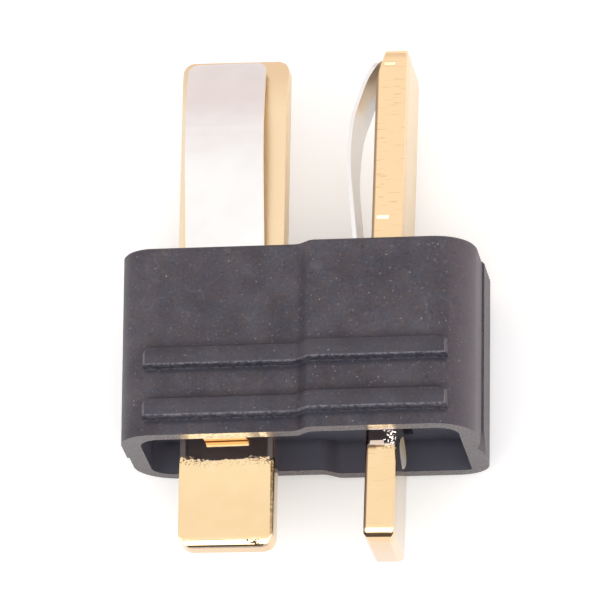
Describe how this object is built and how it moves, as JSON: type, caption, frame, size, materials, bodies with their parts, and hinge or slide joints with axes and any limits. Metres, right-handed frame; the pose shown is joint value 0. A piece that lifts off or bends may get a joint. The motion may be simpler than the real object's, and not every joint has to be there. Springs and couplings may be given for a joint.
{
  "type": "t plug battery connector",
  "caption": "Male T plug power connector: ribbed black housing with one flat and one upright gold blade, leaf springs and solder tabs.",
  "frame": {"origin": "centre of the mating face, where the blades leave the housing, at mid width and mid thickness", "axes": "+Y is the mating direction along the blades, +X runs from the thin half of the housing to its thick half, +Z points out of the front face, so that the plug lies on its back"},
  "size_m": [0.0164, 0.0238, 0.0092],
  "materials": {
    "housing_plastic": "black nylon, fine spark-eroded grain",
    "contact_gold": "thin polished gold plating",
    "spring_metal": "bright silver strip"
  },
  "bodies": {
    "root": {"housing": "housing_plastic", "flat_contact": "contact_gold", "upright_contact": "contact_gold", "flat_contact_spring": "spring_metal", "upright_contact_spring": "spring_metal"}
  },
  "joints": []
}
